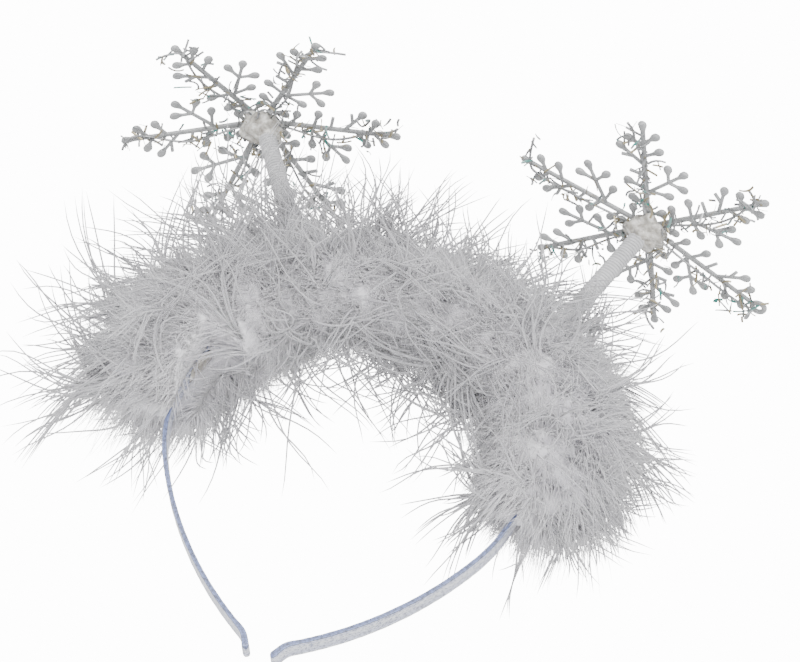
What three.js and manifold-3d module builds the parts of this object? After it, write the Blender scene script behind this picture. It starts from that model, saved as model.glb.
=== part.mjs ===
// Snowflake headband: a slim sprung band with a feather trim over its upper arc,
// two coiled spring stalks, and a six-armed snowflake with a tinsel star on each stalk.
// Millimetres, +Z up, +X to the wearer's left, -Y to the front.
// The origin is the middle of the band's inner face at the crown, where it sits on the head.

import * as THREE from 'three';
import { mergeVertices } from 'three/addons/utils/BufferGeometryUtils.js';
import Module from 'manifold-3d';

const wasm = await Module();
wasm.setup();
const { Manifold } = wasm;

const gap = 0.3; // between pieces that touch
const overcut = 1; // by which a cutting solid passes the face that it cuts
const weld = 0.02; // edges shorter than this are closed up

// Band. Each half runs from the crown through three arcs to a tip that flares outwards.
const bandWidth = 10;
const bandThickness = 2;
const seatLength = 6; // flat stretch at the crown
const crownRadius = 65.2;
const crownTurn = 83.4; // degrees
const templeRadius = 62.7;
const templeTurn = 35.5;
const napeRadius = 140.5;
const napeTurn = 30.1;
const flareRadius = 8;
const flareTurn = -30;
const tipLength = 4.5; // straight end past the flare
const tipThickness = 3;
const tipSwell = 12; // length over which the band thickens to its tip
const facetTurn = 8.4; // degrees of bend that one flat facet takes at most

// Feather trim, worked along the band.
const furHalfLength = 114; // from the crown to each end, along the band
const furRadius = 35; // thickest reach of the dense down
const furCoreShare = 0.66; // backing's share of the dense reach
const furSides = 8;
const furLocks = 104;
const lockShare = 0.72; // how far a lock goes from the backing to the reach of the longest wisps
const lockWidth = 12;
const lockSway = 0.45; // how far a tip leans along the band, as a share of its length
const lockTwist = 0.3; // how far it leans across the band
const lockVary = 0.25; // lengths differ by up to this share
const lockSpread = 0.97; // share of the trim's half length that has locks
const lockTurn = 137.508; // degrees round the band from one lock to the next
const lockRoot = 0.7; // where a lock starts, as a share of the backing's radius
const lockBelly = 0.65; // width half way along, as a share of lockWidth
const lockPoint = 0.08; // width at the tip

// Spring stalks.
const springRadius = 3.7;
const springWire = 1.25;
const springRib = 5; // four turns of wire to a rib
const springGroove = 0.4;
const springSides = 8;
const stalkLength = 82;

// Snowflakes.
const flakeReach = 55; // middle to the arm tips' teardrops
const flakeThickness = 1.8;
const flakeHub = 5;
const armRoot = 2.6; // width of an arm at the hub
const armEnd = 1.5;
const twigWidth = 1.1;
const dropWidth = 3.6;
const dropLength = 4.6;
const eyeletRadius = 3.6;
const eyeletHole = 1.5;
const armCount = 6;

// Tinsel stars, one against the underside of each snowflake.
const starWire = 0.9;
const starHub = 2.6;
const starReach = 58;
const starDip = 3; // how far a stem swings away from the snowflake
const starWave = 1.6; // how far it swings sideways
const starBends = 4; // straight runs in a stem
const stripLength = 9;
const stripWidth = 0.9;
const stripsPerStem = 3;
const stripsFrom = 0.24; // share of a stem where its strips start
const stripShift = 0.6; // how unevenly they follow each other
const stripVary = 0.3; // lengths differ by up to this share
const stripPoint = 0.3; // width at a strip's ends, as a share of stripWidth

// Hot glue.
const glueRadius = 8;
const glueHeight = 6;
const glueLift = 1.4; // the blob's middle past the spring's end
const patchLength = 15;
const patchWidth = 8;
const patchHeight = 1.3;

// The two stalks. seat: along the band from the crown. lean: from upright, degrees.
// azimuth, elevation: where the snowflake's underside faces. spin: its first arm.
// droop: how far its tips bend towards the underside, as a share of flakeReach.
// swerve: how far each arm is bent off its sixth of a turn. eyelet: the arm that ends in one.
const stalks = [
  {
    side: 'left', seat: -37.4, lean: -34.1, azimuth: 55.7, elevation: -70.8, spin: 1.9,
    droop: 0.176, swerve: [0, 0, 0, 0, 0, 0], eyelet: -1,
  },
  {
    side: 'right', seat: 52.5, lean: 18.3, azimuth: -35.1, elevation: -82.6, spin: 4.4,
    droop: 0, swerve: [0, 0, 6, 0, 0, -6], eyelet: 5,
  },
];
const standoff = 4.6; // spring end to the snowflake's middle plane, along the spring

// Where the glue patch lies on the band's inner face, along the band from the crown.
const patchSeat = -90;

// Feather trim along the band. at: share of its half length. lift: how far its middle stands
// outside the band's. dense, loose: reach of the dense down and of the longest wisps from there.
// All three are shares of furRadius.
const furProfile = [
  { at: -1, lift: 0.25, dense: 0.48, loose: 1.2 },
  { at: -0.93, lift: 0.27, dense: 0.76, loose: 1.35 },
  { at: -0.75, lift: 0.24, dense: 0.88, loose: 1.55 },
  { at: -0.5, lift: 0.12, dense: 0.8, loose: 1.55 },
  { at: -0.2, lift: 0.05, dense: 0.6, loose: 1.3 },
  { at: 0, lift: 0.03, dense: 0.62, loose: 1.2 },
  { at: 0.2, lift: 0.05, dense: 0.66, loose: 1.2 },
  { at: 0.5, lift: 0.2, dense: 0.78, loose: 1.35 },
  { at: 0.75, lift: 0.24, dense: 0.84, loose: 1.45 },
  { at: 0.93, lift: 0.12, dense: 0.66, loose: 1.2 },
  { at: 1, lift: 0.05, dense: 0.45, loose: 0.95 },
];

// Twigs on one arm, at shares of flakeReach along it. turn: degrees off the arm's line.
// reach: to the middle of the teardrop, or of a bare stub to its end.
const armTwigs = [
  { at: 0.12, turn: -66, reach: 0.12, drop: true },
  { at: 0.7, turn: -58, reach: 0.135, drop: true },
  { at: 0.83, turn: -50, reach: 0.12, drop: true },
  { at: 0.22, turn: 65, reach: 0.12, drop: true },
  { at: 0.38, turn: 68, reach: 0.145, drop: true },
  { at: 0.51, turn: 75, reach: 0.12, drop: false },
  { at: 0.8, turn: 62, reach: 0.12, drop: true },
];
// Longer branches, with twigs of their own at shares of the branch's length.
const branches = [
  {
    at: 0.34, turn: -48, reach: 0.385,
    twigs: [
      { at: 0.1, turn: -47, reach: 0.145, drop: true },
      { at: 0.59, turn: 48, reach: 0.13, drop: true },
      { at: 0.59, turn: -64, reach: 0.12, drop: true },
    ],
  },
  {
    at: 0.61, turn: 48, reach: 0.235,
    twigs: [{ at: 0.45, turn: 40, reach: 0.09, drop: false }],
  },
];

const radians = THREE.MathUtils.degToRad;

function toSolid(geometry) {
  const bare = geometry.clone();
  bare.deleteAttribute('normal');
  bare.deleteAttribute('uv');
  const merged = mergeVertices(bare, 1e-4);
  return new Manifold(new wasm.Mesh({
    numProp: 3,
    vertProperties: new Float32Array(merged.attributes.position.array),
    triVerts: new Uint32Array(merged.index.array),
  }));
}

// The solid's surface, with each flat face's leftover edges removed.
function toGeometry(solid) {
  const mesh = solid.asOriginal().simplify(weld).getMesh();
  const geometry = new THREE.BufferGeometry();
  geometry.setAttribute('position', new THREE.BufferAttribute(mesh.vertProperties, 3));
  geometry.setIndex(new THREE.BufferAttribute(mesh.triVerts, 1));
  geometry.computeVertexNormals();
  return geometry;
}

// The largest body of a solid: a lock's end that a channel cuts off is left out.
function mainBody(solid) {
  const bodies = solid.decompose();
  return bodies.reduce((best, body) => (body.volume() > best.volume() ? body : best));
}

function join(solids) {
  return Manifold.union(solids);
}

// A closed solid from rings of equal point counts, capped by its end rings.
function loft(rings) {
  const sides = rings[0].length;
  const positions = rings.flat().flatMap((point) => [point.x, point.y, point.z]);
  const index = [];
  for (let ring = 0; ring + 1 < rings.length; ring += 1) {
    for (let side = 0; side < sides; side += 1) {
      const next = (side + 1) % sides;
      const a = ring * sides + side;
      const b = ring * sides + next;
      const c = (ring + 1) * sides + next;
      const d = (ring + 1) * sides + side;
      index.push(a, b, c, a, c, d);
    }
  }
  const last = (rings.length - 1) * sides;
  for (let side = 1; side + 1 < sides; side += 1) {
    index.push(0, side + 1, side);
    index.push(last, last + side, last + side + 1);
  }
  const geometry = new THREE.BufferGeometry();
  geometry.setAttribute('position', new THREE.Float32BufferAttribute(positions, 3));
  geometry.setIndex(index);
  return geometry;
}

// A repeatable number from 0 to 1 for the index-th lock or strip.
function scatter(index, salt) {
  const value = Math.sin(index * 12.9898 + salt * 78.233) * 43758.5453;
  return value - Math.floor(value);
}

// Band

const halfBand = [
  { length: seatLength / 2, turn: 0 },
  { length: crownRadius * radians(crownTurn), turn: crownTurn },
  { length: templeRadius * radians(templeTurn), turn: templeTurn },
  { length: napeRadius * radians(napeTurn), turn: napeTurn },
  { length: flareRadius * radians(Math.abs(flareTurn)), turn: flareTurn },
  { length: tipLength, turn: 0 },
];
const bandHalfLength = halfBand.reduce((sum, row) => sum + row.length, 0);

// The band's middle line at a length from the crown, with its tangent and outward normal.
function bandAt(along) {
  let left = Math.abs(along);
  let x = 0;
  let z = bandThickness / 2;
  let heading = 0;
  for (const row of halfBand) {
    const step = Math.min(left, row.length);
    const bend = radians(row.turn) * step / row.length;
    const chord = bend === 0 ? step : step * Math.sin(bend / 2) / (bend / 2);
    x += chord * Math.cos(heading + bend / 2);
    z -= chord * Math.sin(heading + bend / 2);
    heading += bend;
    left -= step;
  }
  const side = along < 0 ? -1 : 1;
  const turned = side * heading;
  return {
    point: new THREE.Vector3(side * x, 0, z),
    tangent: new THREE.Vector3(Math.cos(turned), 0, -Math.sin(turned)),
    normal: new THREE.Vector3(Math.sin(turned), 0, Math.cos(turned)),
  };
}

// Lengths from the crown at which the band's facets meet, from one tip to the other.
function bandStations(limit) {
  const half = [];
  let start = 0;
  for (const row of halfBand) {
    const facets = Math.max(1, Math.ceil(Math.abs(row.turn) / facetTurn));
    for (let facet = 1; facet <= facets; facet += 1) {
      half.push(start + row.length * facet / facets);
    }
    start += row.length;
  }
  const kept = half.filter((along) => along < limit - overcut);
  kept.push(limit);
  return [...kept.map((along) => -along).reverse(), ...kept];
}

// A strip along the band in side view, between two offsets from its middle line,
// extruded across the width.
function bandStrip(stations, outside, inside, width) {
  const outer = stations.map((along) => offsetPoint(along, outside(along)));
  const inner = stations.map((along) => offsetPoint(along, inside(along)));
  const shape = new THREE.Shape([...outer, ...inner.reverse()]);
  const geometry = new THREE.ExtrudeGeometry(shape, { depth: width, bevelEnabled: false });
  geometry.translate(0, 0, -width / 2);
  geometry.rotateX(Math.PI / 2);
  return geometry;
}

function offsetPoint(along, offset) {
  const { point, normal } = bandAt(along);
  return new THREE.Vector2(point.x + normal.x * offset, point.z + normal.z * offset);
}

// Half the band's thickness: it swells to the tip and closes in a round end.
function halfThickness(along) {
  const toTip = bandHalfLength - Math.abs(along);
  const swell = Math.max(0, 1 - toTip / tipSwell);
  const half = (bandThickness + (tipThickness - bandThickness) * swell) / 2;
  const round = Math.min(1, toTip / half);
  return half * Math.sqrt(1 - (1 - round) ** 2);
}

function bandGeometry() {
  const end = tipThickness / 2;
  const tipEnds = [0.7, 0.3].map((share) => bandHalfLength - end * share);
  const body = bandStations(bandHalfLength - end);
  const closed = [-bandHalfLength + 0.02 * end, ...tipEnds.map((along) => -along).reverse()];
  const stations = [...closed, ...body, ...tipEnds, bandHalfLength - 0.02 * end];
  return bandStrip(stations, halfThickness, (along) => -halfThickness(along), bandWidth);
}

// Feather trim

// One column of the profile at a share of the trim's half length, in millimetres.
function furReach(share, column) {
  const next = furProfile.findIndex((row) => row.at >= share);
  const high = furProfile[Math.max(1, next)];
  const low = furProfile[Math.max(1, next) - 1];
  const mix = (share - low.at) / (high.at - low.at);
  return furRadius * (low[column] + (high[column] - low[column]) * mix);
}

function across(frame, angle) {
  return frame.normal.clone().multiplyScalar(Math.cos(angle)).add(new THREE.Vector3(0, Math.sin(angle), 0));
}

function furCore() {
  const rings = [];
  const steps = 16;
  for (let step = 0; step <= steps; step += 1) {
    const share = -1 + 2 * step / steps;
    const frame = bandAt(share * furHalfLength);
    const middle = frame.point.clone().addScaledVector(frame.normal, furReach(share, 'lift'));
    const radius = furReach(share, 'dense') * furCoreShare;
    const ring = [];
    for (let side = 0; side < furSides; side += 1) {
      const angle = -2 * Math.PI * (side + 0.5) / furSides;
      ring.push(middle.clone().addScaledVector(across(frame, angle), radius));
    }
    rings.push(ring);
  }
  return toSolid(loft(rings));
}

// One lock: a three-sided spike that starts inside the backing and bends to its tip.
function furLock(index) {
  const share = lockSpread * (2 * (index + 0.5) / furLocks - 1);
  const angle = index * radians(lockTurn);
  const frame = bandAt(share * furHalfLength);
  const out = across(frame, angle);
  const flat = new THREE.Vector3().crossVectors(out, frame.tangent);
  const core = furReach(share, 'dense') * furCoreShare;
  const length = (furReach(share, 'loose') - core) * lockShare * (1 + lockVary * (2 * scatter(index, 1) - 1));
  const sway = lockSway * length * (2 * scatter(index, 2) - 1 + share);
  const twist = lockTwist * length * (2 * scatter(index, 3) - 1);
  const start = frame.point.clone().addScaledVector(frame.normal, furReach(share, 'lift'));
  const root = start.clone().addScaledVector(out, core * lockRoot);
  const middle = start.clone().addScaledVector(out, core + length / 2);
  middle.addScaledVector(frame.tangent, sway / 3);
  const tip = start.clone().addScaledVector(out, core + length).addScaledVector(frame.tangent, sway);
  tip.addScaledVector(flat, twist);
  const corners = [[1, 0], [-0.5, 0.87], [-0.5, -0.87]];
  const ring = (at, width) => corners.map(([along, side]) => (
    at.clone().addScaledVector(frame.tangent, along * width / 2).addScaledVector(flat, side * width / 2)
  ));
  return toSolid(loft([
    ring(root, lockWidth),
    ring(middle, lockWidth * lockBelly),
    ring(tip, lockWidth * lockPoint),
  ]));
}

function furGeometry() {
  const locks = Array.from({ length: furLocks }, (_, index) => furLock(index));
  const channel = bandStrip(
    bandStations(furHalfLength + furRadius),
    () => bandThickness / 2 + gap,
    () => -furRadius,
    bandWidth + 2 * gap,
  );
  const stalkHoles = stalks.map((stalk) => springClearance(stalk));
  const fur = join([furCore(), ...locks]).subtract(join([toSolid(channel), ...stalkHoles]));
  return toGeometry(mainBody(fur));
}

// Spring stalks

// Where a spring stands: its foot's lower edge lies a gap off the band's outer face.
function springPlace(stalk) {
  const frame = bandAt(stalk.seat);
  const axis = new THREE.Vector3(Math.sin(radians(stalk.lean)), 0, Math.cos(radians(stalk.lean)));
  const slope = axis.angleTo(frame.normal);
  const rise = (gap + springRadius * Math.sin(slope)) / Math.cos(slope);
  const seat = frame.point.clone().addScaledVector(frame.normal, bandThickness / 2);
  const foot = seat.addScaledVector(axis, rise);
  return { foot, axis, end: foot.clone().addScaledVector(axis, stalkLength) };
}

function alongAxis(geometry, start, axis) {
  const turn = new THREE.Quaternion().setFromUnitVectors(new THREE.Vector3(0, 1, 0), axis);
  geometry.applyQuaternion(turn);
  geometry.translate(start.x, start.y, start.z);
  return geometry;
}

function springGeometry(stalk) {
  const { foot, axis } = springPlace(stalk);
  const ribs = Math.round(stalkLength / springRib);
  const rib = stalkLength / ribs;
  const profile = [new THREE.Vector2(springRadius - springWire, 0)];
  for (let index = 0; index < ribs; index += 1) {
    profile.push(new THREE.Vector2(springRadius - springGroove, index * rib));
    profile.push(new THREE.Vector2(springRadius, (index + 0.5) * rib));
  }
  profile.push(new THREE.Vector2(springRadius - springGroove, stalkLength));
  profile.push(new THREE.Vector2(springRadius - springWire, stalkLength));
  profile.push(profile[0].clone());
  return alongAxis(new THREE.LatheGeometry(profile, springSides), foot, axis);
}

function springClearance(stalk) {
  const { foot, axis } = springPlace(stalk);
  const length = stalkLength + gap;
  const start = foot.clone().addScaledVector(axis, -2 * springRadius);
  const hole = new THREE.CylinderGeometry(
    springRadius + gap * 1.3,
    springRadius + gap * 1.3,
    length + 2 * springRadius,
    springSides,
  );
  hole.translate(0, (length + 2 * springRadius) / 2, 0);
  return toSolid(alongAxis(hole, start, axis));
}

// Snowflakes. Each is made in its own plane, with its underside towards +Z.

function flakeMatrix(stalk) {
  const azimuth = radians(stalk.azimuth);
  const elevation = radians(stalk.elevation);
  const facing = new THREE.Vector3(
    Math.sin(azimuth) * Math.cos(elevation),
    -Math.cos(azimuth) * Math.cos(elevation),
    Math.sin(elevation),
  );
  const first = new THREE.Vector3(Math.cos(azimuth), Math.sin(azimuth), 0);
  const second = new THREE.Vector3().crossVectors(facing, first);
  const { end, axis } = springPlace(stalk);
  const middle = end.clone().addScaledVector(axis, standoff);
  const spin = new THREE.Matrix4().makeRotationZ(radians(stalk.spin));
  return new THREE.Matrix4().makeBasis(first, second, facing).setPosition(middle).multiply(spin);
}

function slab(points, thickness) {
  const shape = new THREE.Shape(points);
  const geometry = new THREE.ExtrudeGeometry(shape, { depth: thickness, bevelEnabled: false });
  geometry.translate(0, 0, -thickness / 2);
  return geometry;
}

// An outline in the snowflake's plane, moved to a start point and turned, as a solid.
function placed(outline, start, turn) {
  const cos = Math.cos(radians(turn));
  const sin = Math.sin(radians(turn));
  const points = outline.map(([x, y]) => (
    new THREE.Vector2(start.x + x * cos - y * sin, start.y + x * sin + y * cos)
  ));
  return toSolid(slab(points, flakeThickness));
}

// A bar that narrows from its start to its end.
function bar(start, turn, length, wide, narrow) {
  return placed([[0, -wide / 2], [length, -narrow / 2], [length, narrow / 2], [0, wide / 2]], start, turn);
}

// A twig from a start point, with or without a teardrop at its end.
function twig(start, turn, reach, drop) {
  if (!drop) {
    return bar(start, turn, reach, twigWidth, twigWidth);
  }
  const half = dropWidth / 2;
  const neck = reach - dropLength / 2;
  const outline = [
    [0, -twigWidth / 2], [neck, -twigWidth / 2], [reach, -half], [reach + half, 0],
    [reach, half], [neck, twigWidth / 2], [0, twigWidth / 2],
  ];
  return placed(outline, start, turn);
}

// A disc in the snowflake's plane.
function disc(centre, radius, sides) {
  const geometry = new THREE.CylinderGeometry(radius, radius, flakeThickness, sides);
  geometry.rotateX(Math.PI / 2);
  geometry.translate(centre.x, centre.y, 0);
  return toSolid(geometry);
}

function flakeBranch(branch) {
  const start = new THREE.Vector2(branch.at * flakeReach, 0);
  const length = branch.reach * flakeReach;
  const along = new THREE.Vector2(Math.cos(radians(branch.turn)), Math.sin(radians(branch.turn)));
  const pieces = [twig(start, branch.turn, length, true)];
  for (const row of branch.twigs) {
    const from = start.clone().addScaledVector(along, row.at * length);
    pieces.push(twig(from, branch.turn + row.turn, row.reach * flakeReach, row.drop));
  }
  return pieces;
}

function flakeArm(withEyelet) {
  const pieces = [bar(new THREE.Vector2(0, 0), 0, flakeReach - dropWidth / 2, armRoot, armEnd)];
  for (const row of armTwigs) {
    pieces.push(twig(new THREE.Vector2(row.at * flakeReach, 0), row.turn, row.reach * flakeReach, row.drop));
  }
  for (const branch of branches) {
    pieces.push(...flakeBranch(branch));
  }
  if (withEyelet) {
    pieces.push(disc(new THREE.Vector2(flakeReach, 0), eyeletRadius, 10));
  } else {
    pieces.push(twig(new THREE.Vector2(flakeReach / 2, 0), 0, flakeReach / 2, true));
  }
  return join(pieces);
}

function eyeletBore() {
  const geometry = new THREE.CylinderGeometry(eyeletHole, eyeletHole, flakeThickness + overcut, 8);
  geometry.rotateX(Math.PI / 2);
  geometry.translate(flakeReach, 0, 0);
  return toSolid(geometry);
}

function turned(solid, degrees) {
  return solid.rotate([0, 0, degrees]);
}

// Where an arm points in its snowflake's plane, in degrees.
function armTurn(stalk, arm) {
  return arm * 360 / armCount + stalk.swerve[arm];
}

// How far an arm has bent towards the underside at a distance from the middle.
function fallAt(stalk, distance) {
  return stalk.droop * flakeReach * Math.max(0, distance - flakeHub) / (flakeReach - flakeHub);
}

// Bends a snowflake's arms, or its tinsel, towards the underside.
function drooped(solid, stalk) {
  return solid.warp((point) => {
    point[2] += fallAt(stalk, Math.hypot(point[0], point[1]));
  });
}

function flakeGeometry(stalk) {
  const pieces = [disc(new THREE.Vector2(0, 0), flakeHub, 12)];
  for (let arm = 0; arm < armCount; arm += 1) {
    pieces.push(turned(flakeArm(arm === stalk.eyelet), armTurn(stalk, arm)));
  }
  let flake = join(pieces);
  if (stalk.eyelet >= 0) {
    flake = flake.subtract(turned(eyeletBore(), armTurn(stalk, stalk.eyelet)));
  }
  return toGeometry(drooped(flake.asOriginal().simplify(weld), stalk)).applyMatrix4(flakeMatrix(stalk));
}

// Tinsel star: six wavy stems from a hub, with short strips across them.

const starPlane = flakeThickness / 2 + gap + starWire / 2;

// A bend of a stem at a share of its reach, in the snowflake's frame.
function stemBend(share, arm) {
  const swing = Math.sin(share * Math.PI * 2.5 + arm) * starWave * share;
  const dip = starDip * Math.sin(Math.min(1, share * 1.2) * Math.PI) ** 2;
  return new THREE.Vector3(share * starReach, swing, starPlane + dip);
}

// A point on a stem, which runs straight from bend to bend.
function stemPoint(share, arm) {
  const bend = Math.min(starBends - 1, Math.floor(share * starBends));
  const before = stemBend(bend / starBends, arm);
  return before.lerp(stemBend((bend + 1) / starBends, arm), share * starBends - bend);
}

function starStem(arm, wire) {
  const rings = [];
  for (let step = 0; step <= starBends; step += 1) {
    const point = stemBend(step / starBends, arm);
    rings.push([[-1, -1], [1, -1], [1, 1], [-1, 1]].map(([y, z]) => (
      new THREE.Vector3(point.x, point.y + y * wire / 2, point.z + z * wire / 2)
    )));
  }
  return toSolid(loft(rings));
}

// A strip across a stem: it lies level with the snowflake or leans away from it.
function starStrip(arm, index) {
  const number = index + arm * 10;
  const share = stripsFrom + (1 - stripsFrom) * (index + scatter(number, 4) * stripShift) / stripsPerStem;
  const middle = stemPoint(share, arm);
  const angle = 2 * Math.PI * scatter(number, 5);
  const length = stripLength * (1 + stripVary * (2 * scatter(number, 6) - 1));
  const way = new THREE.Vector3(Math.cos(angle), Math.sin(angle), 0);
  const side = new THREE.Vector3(-Math.sin(angle), Math.cos(angle), 0).multiplyScalar(stripWidth / 2);
  const up = new THREE.Vector3(0, 0, stripWidth / 2);
  const end = middle.clone().addScaledVector(way, length / 2);
  end.z += length / 3;
  const start = middle.clone().addScaledVector(way, -length / 2);
  start.z += length / 6;
  const ring = (at, scale) => [
    at.clone().addScaledVector(side, scale),
    at.clone().addScaledVector(up, scale),
    at.clone().addScaledVector(side, -scale),
  ];
  return toSolid(loft([ring(start, stripPoint), ring(middle, 1), ring(end, stripPoint)]));
}

function starHubDisc(radius, thickness) {
  const geometry = new THREE.CylinderGeometry(radius, radius, thickness, 8);
  geometry.rotateX(Math.PI / 2);
  geometry.translate(0, 0, starPlane);
  return toSolid(geometry);
}

function starSolid(stalk, clearance, withStrips) {
  const pieces = [starHubDisc(starHub + clearance, starWire + 2 * clearance)];
  for (let arm = 0; arm < armCount; arm += 1) {
    const stem = [starStem(arm, starWire + 2 * clearance)];
    for (let index = 0; withStrips && index < stripsPerStem; index += 1) {
      stem.push(starStrip(arm, index));
    }
    pieces.push(turned(join(stem), armTurn(stalk, arm)));
  }
  return drooped(join(pieces), stalk);
}

function tinselGeometry(stalk) {
  return toGeometry(starSolid(stalk, 0, true)).applyMatrix4(flakeMatrix(stalk));
}

// Hot glue

// Everything above a snowflake's underside and the gap next to it, as far as the glue reaches.
function flakeClearance(stalk) {
  const sides = 24;
  const under = flakeThickness / 2 + gap;
  const wide = 2 * glueRadius;
  const ring = (radius, z) => Array.from({ length: sides }, (_, side) => {
    const angle = 2 * Math.PI * side / sides;
    return new THREE.Vector3(radius * Math.cos(angle), radius * Math.sin(angle), z);
  });
  return loft([ring(wide, -wide), ring(wide, under + fallAt(stalk, wide)), ring(flakeHub, under)]);
}

// The blob that holds spring, star and snowflake together, cut clear of all three.
function glueGeometry(stalk) {
  const matrix = flakeMatrix(stalk);
  const { end, axis } = springPlace(stalk);
  const blob = new THREE.SphereGeometry(glueRadius, 8, 6);
  blob.rotateX(Math.PI / 2);
  blob.scale(1, 1, glueHeight / glueRadius);
  blob.applyMatrix4(new THREE.Matrix4().extractRotation(matrix));
  const middle = end.clone().addScaledVector(axis, glueLift);
  blob.translate(middle.x, middle.y, middle.z);
  const above = flakeClearance(stalk).applyMatrix4(matrix);
  const star = toSolid(toGeometry(starSolid(stalk, gap, false)).applyMatrix4(matrix));
  const cut = join([toSolid(above), star, springClearance(stalk)]);
  return toGeometry(mainBody(toSolid(blob).subtract(cut)));
}

// A flat patch of glue on the band's inner face at the trim's left end.
function patchGeometry() {
  const dome = new THREE.SphereGeometry(1, 12, 8);
  dome.scale(patchLength / 2, patchWidth / 2, patchHeight);
  const under = new THREE.BoxGeometry(2 * patchLength, 2 * patchWidth, 2 * patchHeight);
  under.translate(0, 0, patchHeight);
  const patch = toGeometry(toSolid(dome).subtract(toSolid(under)));
  const frame = bandAt(patchSeat);
  const sag = (patchLength / 2) ** 2 / (2 * crownRadius);
  const middle = frame.point.clone().addScaledVector(frame.normal, -bandThickness / 2 - gap - sag);
  const across = new THREE.Vector3().crossVectors(frame.normal, frame.tangent);
  const matrix = new THREE.Matrix4().makeBasis(frame.tangent, across, frame.normal).setPosition(middle);
  return patch.applyMatrix4(matrix);
}

function piece(name, geometry, colour, roughness, metalness) {
  const material = new THREE.MeshStandardMaterial({ color: colour, roughness, metalness });
  const mesh = new THREE.Mesh(geometry, material);
  mesh.name = name;
  return mesh;
}

const headband = new THREE.Group();
headband.add(piece('band', bandGeometry(), '#b4b9cb', 0.35, 0.2));
headband.add(piece('fur_trim', furGeometry(), '#dcdbe0', 0.95, 0));
headband.add(piece('glue_patch', patchGeometry(), '#c9bda6', 0.4, 0));
for (const stalk of stalks) {
  headband.add(piece(`spring_${stalk.side}`, springGeometry(stalk), '#c4c4c8', 0.5, 0.3));
  headband.add(piece(`snowflake_${stalk.side}`, flakeGeometry(stalk), '#dfe2e6', 0.3, 0));
  headband.add(piece(`tinsel_${stalk.side}`, tinselGeometry(stalk), '#bfe3dc', 0.2, 0.6));
  headband.add(piece(`glue_${stalk.side}`, glueGeometry(stalk), '#d8cfb8', 0.3, 0));
}

export default headband;
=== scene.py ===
import bpy
import numpy as np
from mathutils import Matrix, Vector


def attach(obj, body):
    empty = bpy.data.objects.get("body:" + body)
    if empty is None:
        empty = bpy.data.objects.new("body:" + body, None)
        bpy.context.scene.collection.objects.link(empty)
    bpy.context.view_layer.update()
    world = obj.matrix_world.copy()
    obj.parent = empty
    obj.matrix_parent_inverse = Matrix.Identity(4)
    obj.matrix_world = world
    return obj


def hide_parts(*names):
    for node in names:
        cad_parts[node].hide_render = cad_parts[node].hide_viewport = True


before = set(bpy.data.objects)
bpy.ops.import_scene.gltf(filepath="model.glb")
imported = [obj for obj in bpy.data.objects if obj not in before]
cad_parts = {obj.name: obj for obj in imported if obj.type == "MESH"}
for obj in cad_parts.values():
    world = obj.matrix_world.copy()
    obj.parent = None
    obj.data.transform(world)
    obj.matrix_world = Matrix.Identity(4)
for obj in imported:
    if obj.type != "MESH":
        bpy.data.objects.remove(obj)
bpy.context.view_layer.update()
mm = 0.001  # lengths below are in millimetres, angles in degrees
bodyName = "root"


# Camera, below the headband and a little to its right, turned with the photo

viewCamera = {
    "aim": (0.9, 0.0, -10.0),
    "distance": 896.6,
    "azimuth": 12.5,
    "elevation": -29.7,
    "roll": 23.0,
    "lens": 105.7,
}


def placeCamera():
    az, el, roll = np.radians([viewCamera[k] for k in ("azimuth", "elevation", "roll")])
    back = Vector((np.sin(az) * np.cos(el), -np.cos(az) * np.cos(el), np.sin(el)))
    level = Vector((np.cos(az), np.sin(az), 0.0))
    upright = back.cross(level)
    right = level * np.cos(roll) + upright * np.sin(roll)
    up = upright * np.cos(roll) - level * np.sin(roll)
    data = bpy.data.cameras.new("photoCamera")
    data.lens = viewCamera["lens"]
    data.clip_end = 50
    camera = bpy.data.objects.new("photoCamera", data)
    bpy.context.scene.collection.objects.link(camera)
    place = Vector(viewCamera["aim"]) + back * viewCamera["distance"]
    camera.matrix_world = Matrix((
        (right.x, up.x, back.x, place.x * mm),
        (right.y, up.y, back.y, place.y * mm),
        (right.z, up.z, back.z, place.z * mm),
        (0, 0, 0, 1),
    ))
    bpy.context.scene.camera = camera


placeCamera()
print("camera placed")


# Shared mesh and curve helpers

def unit(vectors):
    return vectors / np.maximum(np.linalg.norm(vectors, axis=-1, keepdims=True), 1e-9)


# A rounded profile carried along paths: each ring point is
# path + width * cos(a)^power * side + height * sin(a)^power * up, with the sign kept.
# path, side, up: (tubes, rings, 3); width, height: (tubes, rings).
def carryProfile(path, side, up, width, height, sides, power=1.0):
    angle = 2 * np.pi * np.arange(sides) / sides
    across = np.sign(np.cos(angle)) * np.abs(np.cos(angle)) ** power
    over = np.sign(np.sin(angle)) * np.abs(np.sin(angle)) ** power
    sideStep = (width[..., None] * across)[..., None] * side[:, :, None, :]
    upStep = (height[..., None] * over)[..., None] * up[:, :, None, :]
    return path[:, :, None, :] + sideStep + upStep


# Side and up vectors square to each path: side = tangent x helper, up = tangent x side.
def pathFrames(path, helper):
    tangent = unit(np.gradient(path, axis=1))
    side = unit(np.cross(tangent, helper))
    return side, np.cross(tangent, side)


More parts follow.
